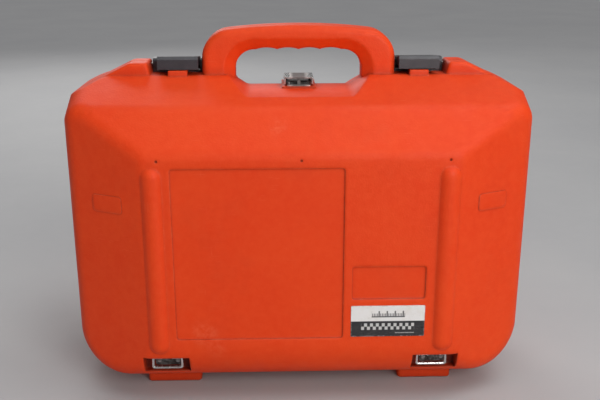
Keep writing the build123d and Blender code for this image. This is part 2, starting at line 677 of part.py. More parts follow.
def latch_seat(side):
    """Plastic seat on the rear deck: a thin plate with a cheek on each side of the lever's barrel."""
    inner = HANDLE_HALF_WIDTH + SEAT_GAP
    outer = RECESS_OUTER_X - SEAT_GAP
    clear = LEVER_WIDTH / 2 + SEAT_GAP
    seat = box(inner, outer, SEAT_NEAR_Y, SEAT_FAR_Y, DECK_Z, DECK_Z + SEAT_PLATE)
    for x0, x1 in ((inner, LEVER_X - clear), (LEVER_X + clear, outer)):
        cheek = box(x0, x1, SEAT_NEAR_Y, SEAT_FAR_Y, DECK_Z, SEAT_TOP_Z)
        top_edges = cheek.edges().filter_by(Axis.X).filter_by(lambda e: e.center().Z > SEAT_TOP_Z - 0.1)
        seat += fillet(top_edges, SEAT_R)
    seat -= x_cylinder(LATCH_PIN_R + PIN_CLEARANCE, inner - 1, outer + 1, LATCH_PIVOT_Y, LATCH_PIVOT_Z)
    return seat if side > 0 else mirror(seat, about=Plane.YZ)


def latch_pin(side):
    """Steel pivot of one latch lever, through the cheeks of its seat and into the walls of its recess."""
    pin = x_cylinder(LATCH_PIN_R, RECESS_INNER_X - LATCH_PIN_SEAT, RECESS_OUTER_X + 3 + LATCH_PIN_SEAT,
                     LATCH_PIVOT_Y, LATCH_PIVOT_Z)
    pin = chamfer(pin.edges(), 0.3)
    return pin if side > 0 else mirror(pin, about=Plane.YZ)


# ---- centre hasp --------------------------------------------------------------------------------

def clasp_base():
    """Plate on the rear half with the two ears that hold the hasp."""
    plate = box(-HASP_HALF_WIDTH, HASP_HALF_WIDTH, BASE_NEAR_Y, BASE_FAR_Y, BOSS_TOP_Z, BOSS_TOP_Z + HASP_PLATE)
    plate = fillet(plate.edges().filter_by(Axis.Z), 2.0)
    ear = box(HASP_HALF_WIDTH - HASP_CHEEK - EAR_GAP - EAR_WIDTH, HASP_HALF_WIDTH - HASP_CHEEK - EAR_GAP,
              HASP_PIVOT_Y - HASP_BARREL_R, HASP_PIVOT_Y + HASP_BARREL_R, BOSS_TOP_Z + 0.2, HASP_PIVOT_Z)
    ear += x_cylinder(HASP_BARREL_R, HASP_HALF_WIDTH - HASP_CHEEK - EAR_GAP - EAR_WIDTH,
                      HASP_HALF_WIDTH - HASP_CHEEK - EAR_GAP, HASP_PIVOT_Y, HASP_PIVOT_Z)
    base = plate + both_sides(ear)
    base -= x_cylinder(HASP_PIN_R + PIN_CLEARANCE, -FAR, FAR, HASP_PIVOT_Y, HASP_PIVOT_Z)
    return base - rivet_holes(CLASP_RIVETS, "up")


def clasp_hasp():
    """Channel-shaped hasp that folds over the staple of the lid."""
    low_z = HASP_PIVOT_Z + HASP_BARREL_R + HASP_HEADROOM
    top_z = low_z + HASP_CHEEK
    plate = box(-HASP_HALF_WIDTH, HASP_HALF_WIDTH, -HASP_REACH_Y, HASP_PIVOT_Y, low_z, top_z)
    profile = [(-HASP_REACH_Y, HASP_CHEEK_LOW_Z), (-HASP_REACH_Y, top_z), (HASP_PIVOT_Y, top_z),
               (HASP_PIVOT_Y, HASP_PIVOT_Z - HASP_BARREL_R), (0, HASP_CHEEK_LOW_Z)]
    cheek = extrude(side_face(profile, HASP_HALF_WIDTH - HASP_CHEEK), HASP_CHEEK)
    cheek += x_cylinder(HASP_BARREL_R, HASP_HALF_WIDTH - HASP_CHEEK, HASP_HALF_WIDTH, HASP_PIVOT_Y, HASP_PIVOT_Z)
    hasp = plate + both_sides(cheek)
    long_edges = hasp.edges().filter_by(Axis.Y).filter_by(lambda e: e.center().Z > top_z - 0.1)
    hasp = fillet(long_edges, HASP_CHEEK / 2)
    hasp -= x_cylinder(HASP_PIN_R + PIN_CLEARANCE, -FAR, FAR, HASP_PIVOT_Y, HASP_PIVOT_Z)
    return hasp - x_cylinder(PADLOCK_R, -FAR, FAR, -PADLOCK_Y, PADLOCK_Z)


def clasp_pin():
    """Pin through the hasp cheeks and the ears of its base."""
    pin = x_cylinder(HASP_PIN_R, -HASP_HALF_WIDTH - 0.4, HASP_HALF_WIDTH + 0.4, HASP_PIVOT_Y, HASP_PIVOT_Z)
    return chamfer(pin.edges(), 0.25)


def clasp_staple():
    """Staple plate on the lid with the eye that the padlock passes through."""
    top = BOSS_TOP_Z + HASP_PLATE
    reach = HASP_HALF_WIDTH - HASP_CHEEK - 1
    plate = box(-reach, reach, -STAPLE_FAR_Y, -STAPLE_NEAR_Y, BOSS_TOP_Z, top)
    plate = fillet(plate.edges().filter_by(Axis.Z), 2.0)
    lug = box(-STAPLE_LUG_HALF, STAPLE_LUG_HALF, -PADLOCK_Y - STAPLE_LUG_R, -PADLOCK_Y + STAPLE_LUG_R,
              BOSS_TOP_Z + HASP_PLATE / 2, PADLOCK_Z)
    lug += x_cylinder(STAPLE_LUG_R, -STAPLE_LUG_HALF, STAPLE_LUG_HALF, -PADLOCK_Y, PADLOCK_Z)
    staple = plate + lug - x_cylinder(PADLOCK_R, -FAR, FAR, -PADLOCK_Y, PADLOCK_Z)
    return staple - rivet_holes(STAPLE_RIVETS, "up")


def rivet_group(places, way):
    """Identical rivets as one group of separate solids."""
    return Compound(children=[rivet(x, y, z, way) for x, y, z in places])


# ---- strap rings and label ----------------------------------------------------------------------

def strap_ring(side, name):
    """Rectangular wire ring that hangs in its bracket."""
    half = RING_WIDTH / 2 - RING_WIRE_R
    top, low = RING_AXIS_Z, RING_AXIS_Z - RING_HEIGHT + 2 * RING_WIRE_R
    middle = side * POCKET_X + RING_SHIFT[name]
    face = front_face([(middle - half, low), (middle + half, low), (middle + half, top), (middle - half, top)],
                      -RING_AXIS_Y)
    path = fillet(face.vertices(), RING_BEND_R).wire()
    start = Plane(origin=(middle, -RING_AXIS_Y, low), x_dir=(0, 1, 0), z_dir=(1, 0, 0))
    section = start * Circle(RING_WIRE_R)
    return sweep(section, path=path)


def ring_bracket(side):
    """Folded steel strap, riveted in the pocket, with the eye that holds the ring."""
    x = side * POCKET_X
    back = -POCKET_BACK_Y
    inner = RING_WIRE_R + EYE_CLEARANCE
    outer = inner + EYE_WALL
    plate = box(x - BRACKET_HALF_WIDTH, x + BRACKET_HALF_WIDTH, back - EYE_WALL, back, BRACKET_LOW_Z, BRACKET_HIGH_Z)
    plate = fillet(plate.edges().filter_by(Axis.Y), 2.0)
    eye = x_cylinder(outer, x - EYE_HALF_WIDTH, x + EYE_HALF_WIDTH, -RING_AXIS_Y, RING_AXIS_Z)
    eye += box(x - EYE_HALF_WIDTH, x + EYE_HALF_WIDTH, -RING_AXIS_Y, back - 0.2, RING_AXIS_Z - outer,
               RING_AXIS_Z + outer)
    eye -= x_cylinder(inner, x - FAR, x + FAR, -RING_AXIS_Y, RING_AXIS_Z)
    eye -= box(x - FAR, x + FAR, -RING_AXIS_Y + outer, back - EYE_WALL - 1, RING_AXIS_Z - 0.8, RING_AXIS_Z + 0.8)
    holes = [place for place in BRACKET_RIVETS if place[0] * side > 0]
    return plate + eye - rivet_holes(holes, "front")


def label_plate():
    """Thin label on the front panel."""
    left, right, low, high = LABEL
    plate = box(left, right, -HALF_DEPTH - LABEL_THICKNESS, -HALF_DEPTH, low, high)
    return fillet(plate.edges().filter_by(Axis.Y), 1.0)


# ---- all nodes ----------------------------------------------------------------------------------

NODES = {
    "front_shell": front_shell(),
    "rear_shell": rear_shell(),
    "rim_seal": rim_seal(),
    "foam_cradle": foam_cradle(),
    "lid_foam": lid_foam(),
    "label_plate": label_plate(),
    "clasp_base": clasp_base(),
    "clasp_hasp": clasp_hasp(),
    "clasp_pin": clasp_pin(),
    "clasp_staple": clasp_staple(),
    "clasp_rivets": rivet_group(CLASP_RIVETS, "up"),
    "staple_rivets": rivet_group(STAPLE_RIVETS, "up"),
    "bracket_rivets": rivet_group(BRACKET_RIVETS, "front"),
}
for name, side in (("left", -1), ("right", 1)):
    NODES["hinge_pin_" + name] = hinge_pin(side)
    NODES["latch_lever_" + name] = latch_lever(side)
    NODES["latch_seat_" + name] = latch_seat(side)
    NODES["latch_pin_" + name] = latch_pin(side)
    NODES["strap_ring_" + name] = strap_ring(side, name)
    NODES["ring_bracket_" + name] = ring_bracket(side)

for name, solid in NODES.items():
    export_step(solid, os.path.join("parts", name + ".step"))
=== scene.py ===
"""Looks of a hard-plastic carrying case for a surveying instrument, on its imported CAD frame.

Metres; +X right seen from the front panel, +Y from the front panel to the rear shell, +Z up. The shells,
levers, seats, hasp, rings, pins, seal and label are the CAD nodes with procedural materials. The two foams
are modelled here.
"""

import math

import bmesh
import bpy
import numpy as np
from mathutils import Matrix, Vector, noise


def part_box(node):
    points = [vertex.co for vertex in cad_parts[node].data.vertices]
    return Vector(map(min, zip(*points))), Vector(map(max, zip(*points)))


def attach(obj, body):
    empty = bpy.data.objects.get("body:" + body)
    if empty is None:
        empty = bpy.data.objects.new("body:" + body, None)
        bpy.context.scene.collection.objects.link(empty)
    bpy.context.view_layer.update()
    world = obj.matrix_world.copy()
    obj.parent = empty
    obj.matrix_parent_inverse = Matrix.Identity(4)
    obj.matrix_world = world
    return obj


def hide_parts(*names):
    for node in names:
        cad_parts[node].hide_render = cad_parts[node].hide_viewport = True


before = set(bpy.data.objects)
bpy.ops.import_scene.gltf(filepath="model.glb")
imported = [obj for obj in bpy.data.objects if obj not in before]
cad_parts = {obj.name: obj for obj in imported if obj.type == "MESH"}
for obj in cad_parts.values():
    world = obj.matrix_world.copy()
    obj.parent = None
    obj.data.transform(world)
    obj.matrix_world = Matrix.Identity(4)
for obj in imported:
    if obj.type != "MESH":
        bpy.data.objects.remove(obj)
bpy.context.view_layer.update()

# ---- the camera and the light, as on the photograph ----------------------------------------------

CAMERA_PLACE = (-0.0251, -0.8757, 0.4661)
CAMERA_AZIMUTH = math.radians(-1.76)
CAMERA_PITCH = math.radians(17.57)
LENS_MM = 49.98
SENSOR_MM = 36.0

FLOOR_HALF = 16.0             # half of its width and depth
FLOOR_JOINT_Y = -0.0125       # the floor in front of this line swings away with the lid
FLOOR_STEPS = 24              # faces across each sheet, finer near the object
FLOOR_Z = -0.0003             # a hair under the soles of the feet
WORLD_GREY = 0.62
WORLD_STRENGTH = 0.30
LIGHTS = {
    # name: place, diameter, power in watts, colour
    "key": ((0.60, -1.34, 0.78), 0.8, 13.8, (1.0, 0.985, 0.96)),
    "fill": ((-1.7, -1.5, 0.9), 1.6, 2.6, (0.93, 0.96, 1.0)),
    "top": ((0.62, -0.22, 1.50), 0.7, 2.5, (1.0, 1.0, 1.0)),
    "rear": ((-0.6, 2.0, 1.5), 1.4, 18.0, (1.0, 0.99, 0.97)),
}
LIGHT_AIM = Vector((0.0, 0.0, 0.2))
CEILING_FROM = Vector((0.22, -0.12, 1.0))    # even soft light from above, over the whole floor
CEILING_STRENGTH = 1.05
CEILING_ANGLE = math.radians(50.0)

# ---- details of the shells that the materials follow ---------------------------------------------

# rectangles are (left, right, low, high)
PANEL_Y = -0.110
RECESS_DEPTH = 0.0012
BIG_RECESS = (-0.1265, 0.042, 0.0755, 0.255)
SMALL_RECESS = (0.0503, 0.1246, 0.118, 0.1534)
POCKETS = (0.115, 0.162, 0.0335, 0.054)      # of the strap rings, on both sides
# from this depth back to the parting plane the pockets get painted shade
POCKET_INSIDE_Y = -0.1065
SCUFFS = ((-0.098, 0.083, 0.016), (-0.086, 0.066, 0.012), (-0.022, 0.292, 0.010))    # x, z and radius
SCUFF_DEPTH = (-0.082, -0.088)               # where they fade in, so that the rear stays clean
SOFT_EDGE = 0.0045                           # radius that the shading gives to sharp edges
WORN_EDGE = 0.0011                           # width of the rubbed line along edges
ORANGE_GRAIN = 0.00019                       # depth of the moulded grain

# ---- the printed label: parts of its width and height --------------------------------------------

BAR_PAIRS = 12.5              # black and white pairs of the scale bar in one width of the label
TICKS = (0.28, 0.73, 0.66, 0.75)
LONG_TICKS = (0.28, 0.73, 0.66, 0.83)
BASE_LINE = (0.28, 0.73, 0.625, 0.66)
BAR_TOP = (0.14, 0.86, 0.325, 0.43)
BAR_LOW = (0.14, 0.86, 0.22, 0.325)
FOOT_LINE = (0.60, 0.86, 0.10, 0.13)
UNWORN = (0.012, 0.988, 0.028, 0.972)        # inside the rubbed rim
PRINT_BLUR = 0.004
HALF_HEIGHT = 0.5                            # where the white turns black

# ---- the foams -----------------------------------------------------------------------------------

FOAM_FACE = 0.011             # from the parting plane to the face of each foam
FOAM_VOXEL = 0.003
LIP_DEPTH = 0.016             # how far behind the face the lips still sink
LIP_PASSES = 14
LIP_PULL = 0.65               # how far each pass draws a point to its neighbours
LAYER_DEPTH = 0.023           # thickness of each bonded layer
GROOVE_DEPTH = 0.0008         # of the line between two layers
GROOVE_WIDTH = 0.0021
DENT_DEPTH = 0.0008
DENTS_PER_METRE = 32.0


# ---- short ways to build materials ---------------------------------------------------------------

class Paint:
    """One material and short ways to add its nodes."""

    def __init__(self, name, **constants):
        self.material = bpy.data.materials.new(name)
        self.material.use_nodes = True
        self.tree = self.material.node_tree
        self.tree.nodes.clear()
        self.shader = self.tree.nodes.new("ShaderNodeBsdfPrincipled")
        output = self.tree.nodes.new("ShaderNodeOutputMaterial")
        self.tree.links.new(self.shader.outputs["BSDF"], output.inputs["Surface"])
        for socket, value in constants.items():
            self.shader.inputs[socket.replace("_", " ")].default_value = value
        coordinates = self.tree.nodes.new("ShaderNodeTexCoord")
        self.place = coordinates.outputs["Object"]

    def put(self, socket, value):
        """Gives an input a number, a colour or another node's output."""
        if isinstance(value, bpy.types.NodeSocket):
            self.tree.links.new(value, socket)
        elif isinstance(value, (tuple, list)) and len(value) == 3 and len(socket.default_value) == 4:
            socket.default_value = (*value, 1.0)
        else:
            socket.default_value = value

    def shade(self, socket, value):
        """Sets an input of the shader."""
        self.put(self.shader.inputs[socket], value)

    def math(self, operation, first, second=0.0, clamp=False):
        """Result of one math step."""
        node = self.tree.nodes.new("ShaderNodeMath")
        node.operation = operation
        node.use_clamp = clamp
        self.put(node.inputs[0], first)
        self.put(node.inputs[1], second)
        return node.outputs[0]

    def times(self, *factors):
        """Product of its factors."""
        result = factors[0]
        for factor in factors[1:]:
            result = self.math("MULTIPLY", result, factor)
        return result

    def either(self, *masks):
        """Largest of its masks."""
        result = masks[0]
        for mask in masks[1:]:
            result = self.math("MAXIMUM", result, mask)
        return result

    def ramp(self, value, low, high, out_low=0.0, out_high=1.0):
        """value from low to high, as out_low to out_high, held at both ends."""
        node = self.tree.nodes.new("ShaderNodeMapRange")
        node.clamp = True
        self.put(node.inputs["Value"], value)
        ends = {"From Min": low, "From Max": high, "To Min": out_low, "To Max": out_high}
        for name, number in ends.items():
            node.inputs[name].default_value = number
        return node.outputs[0]

    def mix(self, factor, first, second):
        """Colour between first and second."""
        node = self.tree.nodes.new("ShaderNodeMix")
        node.data_type = "RGBA"
        sockets = [s for s in node.inputs if s.enabled]
        self.put(sockets[0], factor)
        self.put(sockets[1], first)
        self.put(sockets[2], second)
        return next(s for s in node.outputs if s.enabled)

    def axes(self):
        """x, y and z of the place on the object."""
        node = self.tree.nodes.new("ShaderNodeSeparateXYZ")
        self.put(node.inputs[0], self.place)
        return tuple(node.outputs)

    def stretched(self, scale, turn=(0.0, 0.0, 0.0)):
        """Places scaled by three factors after a turn."""
        node = self.tree.nodes.new("ShaderNodeMapping")
        self.put(node.inputs["Vector"], self.place)
        node.inputs["Scale"].default_value = scale
        node.inputs["Rotation"].default_value = turn
        return node.outputs[0]

    def noise(self, scale, detail=3.0, roughness=0.55, where=None):
        """Smooth noise from 0 to 1."""
        node = self.tree.nodes.new("ShaderNodeTexNoise")
        self.put(node.inputs["Vector"], where or self.place)
        node.inputs["Scale"].default_value = scale
        node.inputs["Detail"].default_value = detail
        node.inputs["Roughness"].default_value = roughness
        return node.outputs["Fac"]

    def cells(self, scale, feature="F1", smoothness=None):
        """Distance pattern of small cells."""
        node = self.tree.nodes.new("ShaderNodeTexVoronoi")
        node.feature = feature
        self.put(node.inputs["Vector"], self.place)
        node.inputs["Scale"].default_value = scale
        if smoothness is not None:
            node.inputs["Smoothness"].default_value = smoothness
        return node.outputs["Distance"]

    def scratches(self, scale, turn, amount):
        """Mask of thin straight scratches; amount is how many, from 0 to 1."""
        streaks = self.noise(1.0, 2.0, 0.5, self.stretched(scale, turn))
        patches = self.noise(28.0, 1.0, 0.5)
        low = 0.78 - 0.16 * amount
        return self.times(self.ramp(streaks, low, low + 0.04), self.ramp(patches, 0.45, 0.62))

    def soft_normal(self, radius, samples=6):
        """Normal that rounds sharp edges by radius."""
        node = self.tree.nodes.new("ShaderNodeBevel")
        node.samples = samples
        node.inputs["Radius"].default_value = radius
        return node.outputs[0]

    def worn_edges(self, radius, breakup):
        """Mask along edges, broken up by a noise of that scale."""
        geometry = self.tree.nodes.new("ShaderNodeNewGeometry")
        dot = self.tree.nodes.new("ShaderNodeVectorMath")
        dot.operation = "DOT_PRODUCT"
        self.put(dot.inputs[0], self.soft_normal(radius, 4))
        self.put(dot.inputs[1], geometry.outputs["Normal"])
        edge = self.ramp(dot.outputs["Value"], 0.985, 0.80)
        return self.times(edge, self.ramp(self.noise(breakup, 4.0, 0.65), 0.42, 0.60))

    def hollows(self, distance, samples=4):
        """1 in tight corners and 0 on open faces."""
        node = self.tree.nodes.new("ShaderNodeAmbientOcclusion")
        node.samples = samples
        node.inputs["Distance"].default_value = distance
        return self.ramp(node.outputs["AO"], 0.35, 0.95, 1.0, 0.0)

    def bump(self, height, depth, under=None):
        """Gives the shader a relief of that depth in metres, over the normal that lies under it."""
        node = self.tree.nodes.new("ShaderNodeBump")
        node.inputs["Strength"].default_value = 1.0
        node.inputs["Distance"].default_value = depth
        self.put(node.inputs["Height"], height)
        if under is not None:
            self.put(node.inputs["Normal"], under)
        self.shade("Normal", node.outputs[0])

    def band(self, value, low, high, blur=0.002):
        """1 where value is between low and high."""
        rise = self.ramp(value, low - blur, low + blur)
        fall = self.ramp(value, high - blur, high + blur, 1.0, 0.0)
        return self.times(rise, fall)

    def patch(self, across, up, box, blur=0.002):
        """1 inside a rectangle (left, right, low, high)."""
        left, right, low, high = box
        return self.times(self.band(across, left, right, blur), self.band(up, low, high, blur))


def blot(paint, x, z, spot):
    """Soft round mask about a point of the front."""
    centre_x, centre_z, radius = spot
    dx = paint.math("SUBTRACT", x, centre_x)
    dz = paint.math("SUBTRACT", z, centre_z)
    squared = paint.math("ADD", paint.times(dx, dx), paint.times(dz, dz))
    return paint.ramp(squared, 0.0, radius * radius, 1.0, 0.0)


# ---- materials -----------------------------------------------------------------------------------

def orange_plastic():
    """Moulded orange plastic with a leather grain, smooth in the panel recesses."""
    paint = Paint("orange_moulded_plastic", IOR=1.46, Specular_IOR_Level=0.30)
    x, y, z = paint.axes()
    smooth = paint.times(
        paint.either(paint.patch(x, z, BIG_RECESS, 0.0008), paint.patch(x, z, SMALL_RECESS, 0.0008)),
        paint.band(y, PANEL_Y - 0.0005, PANEL_Y + 2 * RECESS_DEPTH, 0.0001),
    )
    fade = paint.ramp(paint.noise(6.0, 4.0, 0.6), 0.36, 0.66)
    mottle = paint.ramp(paint.noise(120.0, 3.0, 0.6), 0.32, 0.68)
    soil = paint.times(paint.ramp(paint.noise(17.0, 5.0, 0.65), 0.52, 0.74), 0.5)
    colour = paint.mix(fade, (0.75, 0.042, 0.0015), (0.79, 0.055, 0.004))
    colour = paint.mix(paint.times(mottle, 0.24), colour, (0.86, 0.095, 0.018))
    colour = paint.mix(paint.times(soil, 0.30), colour, (0.52, 0.042, 0.010))
    # painted shade: the orange turns darker red in tight corners and crevices
    colour = paint.mix(paint.times(paint.hollows(0.012), 0.7), colour, (0.20, 0.012, 0.004))
    # painted shade: the walls inside the strap-ring pockets are darkened to near black
    inside = paint.times(
        paint.patch(paint.math("ABSOLUTE", x), z, POCKETS, 0.0006),
        paint.ramp(y, POCKET_INSIDE_Y - 0.001, POCKET_INSIDE_Y + 0.001),
        paint.ramp(y, 0.0, -0.001),
    )
    colour = paint.mix(paint.times(inside, 0.78), colour, (0.075, 0.008, 0.004))
    worn = paint.worn_edges(WORN_EDGE, 85.0)
    scratches = paint.either(
        paint.scratches((60.0, 60.0, 2600.0), (0.3, 0.25, 0.1), 0.55),
        paint.scratches((2600.0, 2600.0, 70.0), (0.1, 0.55, 0.3), 0.45),
    )
    scuffs = paint.either(*(blot(paint, x, z, spot) for spot in SCUFFS))
    scuffs = paint.times(scuffs, paint.ramp(paint.noise(150.0, 5.0, 0.75), 0.44, 0.66))
    scuffs = paint.times(scuffs, paint.ramp(y, *SCUFF_DEPTH))
    pale = paint.either(paint.times(worn, 0.4), paint.times(scratches, 0.25), paint.times(scuffs, 0.26))
    colour = paint.mix(pale, colour, (0.90, 0.24, 0.12))
    paint.shade("Base Color", colour)
    rough = paint.ramp(paint.noise(32.0, 4.0, 0.6), 0.3, 0.7, 0.50, 0.62)
    rough = paint.math("SUBTRACT", rough, paint.times(smooth, 0.07))
    paint.shade("Roughness", paint.math("ADD", rough, paint.times(pale, 0.25), clamp=True))
    grain = paint.cells(620.0, "SMOOTH_F1", 0.6)
    pores = paint.noise(900.0, 2.0, 0.6)
    peel = paint.noise(70.0, 2.0, 0.5)
    relief = paint.math("ADD", paint.times(grain, 0.62), paint.times(pores, 0.38))
    relief = paint.times(relief, paint.ramp(smooth, 0.0, 1.0, 1.0, 0.16))
    relief = paint.math("ADD", relief, paint.times(peel, 1.1))
    relief = paint.math("SUBTRACT", relief, paint.times(scratches, 0.25))
    paint.bump(relief, ORANGE_GRAIN, paint.soft_normal(SOFT_EDGE, 8))
    return paint.material


def dark_plastic():
    """Charcoal nylon of the latch levers and seats: fine grain, rubbed edges, light scratches."""
    paint = Paint("charcoal_nylon", IOR=1.52, Specular_IOR_Level=0.55)
    cloud = paint.ramp(paint.noise(45.0, 4.0, 0.6), 0.3, 0.7)
    colour = paint.mix(cloud, (0.026, 0.025, 0.031), (0.044, 0.041, 0.049))
    worn = paint.worn_edges(0.0009, 240.0)
    scratches = paint.scratches((90.0, 90.0, 3200.0), (0.2, 0.1, 0.4), 0.7)
    pale = paint.either(paint.times(worn, 0.55), paint.times(scratches, 0.4))
    colour = paint.mix(pale, colour, (0.20, 0.195, 0.215))
    dust = paint.times(paint.hollows(0.004), 0.45)
    colour = paint.mix(dust, colour, (0.045, 0.038, 0.034))
    paint.shade("Base Color", colour)
    paint.shade("Roughness", paint.ramp(paint.noise(160.0, 3.0, 0.6), 0.3, 0.7, 0.30, 0.46))
    relief = paint.math("ADD", paint.times(paint.cells(1500.0), 0.6), paint.times(paint.noise(600.0), 0.4))
    paint.bump(relief, 0.00009, paint.soft_normal(0.0007))
    return paint.material


def bright_steel(name, dark_half=0.0, shade_amount=0.0):
    """Nickel-plated steel with fine scratches, tarnish, and painted shade in tight corners.

    dark_half is half of the width of a darker middle, and shade_amount is how far painted shade darkens
    the whole surface.
    """
    paint = Paint(name)
    x = paint.axes()[0]
    tarnish = paint.ramp(paint.noise(190.0, 5.0, 0.65), 0.50, 0.72)
    colour = paint.mix(paint.times(tarnish, 0.55), (0.70, 0.69, 0.68), (0.40, 0.34, 0.27))
    scratches = paint.scratches((300.0, 4200.0, 4200.0), (0.1, 0.2, 0.5), 0.9)
    colour = paint.mix(paint.times(scratches, 0.4), colour, (0.90, 0.90, 0.90))
    # painted shade: tight corners turn near black and stop looking like metal
    darkening = paint.times(paint.hollows(0.003), 0.7)
    # painted shade: darkens the whole surface, by the amount given
    if shade_amount:
        shade_film = paint.ramp(paint.noise(330.0, 4.0, 0.6), 0.2, 0.6, 0.6 * shade_amount, shade_amount)
        darkening = paint.either(darkening, shade_film)
    # darker across the middle, within dark_half of the centre line
    if dark_half:
        across = paint.math("ABSOLUTE", x)
        ragged = paint.math("ADD", across, paint.times(paint.noise(420.0, 4.0, 0.75), 0.006))
        darkening = paint.either(darkening, paint.ramp(ragged, dark_half, dark_half + 0.005, 0.80, 0.0))
    colour = paint.mix(darkening, colour, (0.020, 0.014, 0.012))
    paint.shade("Base Color", colour)
    paint.shade("Metallic", paint.math("SUBTRACT", 1.0, darkening, clamp=True))
    rough = paint.ramp(paint.noise(260.0, 4.0, 0.6), 0.3, 0.7, 0.14, 0.30)
    rough = paint.math("ADD", rough, paint.times(darkening, 0.5), clamp=True)
    paint.shade("Roughness", rough)
    relief = paint.math("SUBTRACT", paint.noise(700.0, 3.0, 0.6), paint.times(scratches, 0.4))
    paint.bump(relief, 0.00003, paint.soft_normal(0.0004))
    return paint.material


def pin_steel():
    """Zinc-plated steel of the pins and rivets, dull and slightly rusty in the corners."""
    paint = Paint("zinc_plated_steel", Metallic=1.0, IOR=2.0)
    bloom = paint.ramp(paint.noise(230.0, 5.0, 0.7), 0.35, 0.7)
    colour = paint.mix(bloom, (0.56, 0.56, 0.57), (0.38, 0.37, 0.35))
    rust = paint.times(paint.hollows(0.0025), paint.ramp(paint.noise(340.0, 4.0, 0.7), 0.46, 0.62), 0.8)
    colour = paint.mix(rust, colour, (0.16, 0.075, 0.035))
    paint.shade("Base Color", colour)
    turned = paint.noise(1.0, 2.0, 0.5, paint.stretched((3200.0, 120.0, 120.0)))
    paint.shade("Roughness", paint.ramp(turned, 0.3, 0.7, 0.26, 0.44))
    paint.bump(paint.math("ADD", turned, paint.noise(900.0)), 0.00003, paint.soft_normal(0.0003))
    return paint.material


def black_rubber():
    """Rubber cord of the seal: matte, with bloom and dust."""
    paint = Paint("black_seal_rubber", IOR=1.5, Specular_IOR_Level=0.35)
    bloom = paint.ramp(paint.noise(60.0, 4.0, 0.65), 0.4, 0.75)
    colour = paint.mix(bloom, (0.016, 0.016, 0.017), (0.052, 0.050, 0.047))
    dust = paint.ramp(paint.noise(1400.0, 2.0, 0.7), 0.66, 0.74)
    colour = paint.mix(paint.times(dust, 0.5), colour, (0.30, 0.27, 0.23))
    paint.shade("Base Color", colour)
    paint.shade("Roughness", paint.ramp(paint.noise(300.0), 0.3, 0.7, 0.62, 0.82))
    paint.bump(paint.noise(1500.0, 3.0, 0.6), 0.00006)
    return paint.material


def foam():
    """Cut foam: dark grey, with fine cells, pits and lint."""
    paint = Paint("cut_foam", IOR=1.35, Specular_IOR_Level=0.25, Sheen_Weight=0.18, Sheen_Roughness=0.6)
    cells = paint.cells(950.0)
    large = paint.cells(330.0)
    cloud = paint.ramp(paint.noise(14.0, 4.0, 0.6), 0.3, 0.7)
    colour = paint.mix(cloud, (0.036, 0.037, 0.041), (0.058, 0.058, 0.062))
    colour = paint.mix(paint.ramp(cells, 0.25, 0.75, 0.0, 0.4), colour, (0.11, 0.11, 0.115))
    pits = paint.ramp(large, 0.16, 0.06)
    colour = paint.mix(paint.times(pits, 0.7), colour, (0.012, 0.012, 0.013))
    lint = paint.ramp(paint.noise(520.0, 3.0, 0.8), 0.69, 0.76)
    colour = paint.mix(paint.times(lint, 0.5), colour, (0.28, 0.26, 0.24))
    # painted shade: the foam is darker in the cut-outs and tight corners
    colour = paint.mix(paint.times(paint.hollows(0.02), 0.5), colour, (0.014, 0.014, 0.015))
    paint.shade("Base Color", colour)
    paint.shade("Roughness", paint.ramp(paint.noise(90.0), 0.3, 0.7, 0.86, 0.97))
    relief = paint.math("SUBTRACT", paint.times(cells, 0.8), paint.times(pits, 1.4))
    relief = paint.math("ADD", relief, paint.times(paint.noise(160.0, 3.0, 0.6), 0.9))
    paint.bump(relief, 0.0003)
    return paint.material


